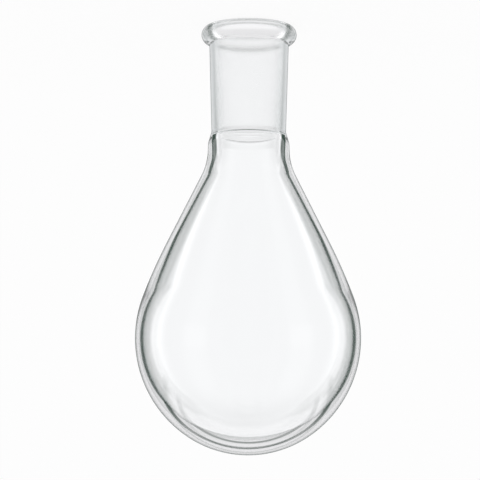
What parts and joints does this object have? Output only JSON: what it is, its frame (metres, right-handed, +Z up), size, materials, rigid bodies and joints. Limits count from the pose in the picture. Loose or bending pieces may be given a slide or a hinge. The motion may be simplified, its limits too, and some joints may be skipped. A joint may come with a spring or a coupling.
{
  "type": "kjeldahl flask",
  "caption": "Pear-shaped round-bottomed digestion flask in clear glass, with a short neck, a ground taper socket and a beaded rim.",
  "frame": {"origin": "centre of the mouth, on the table that the flask stands on, mouth down", "axes": "+Z up along the flask's own axis, from the mouth to the bottom of the bulb"},
  "size_m": [0.09, 0.09, 0.1737],
  "materials": {
    "glass": "clear fire-polished borosilicate glass, fine-ground (frosted) inside the socket"
  },
  "bodies": {
    "root": {"flask": "glass"}
  },
  "joints": []
}
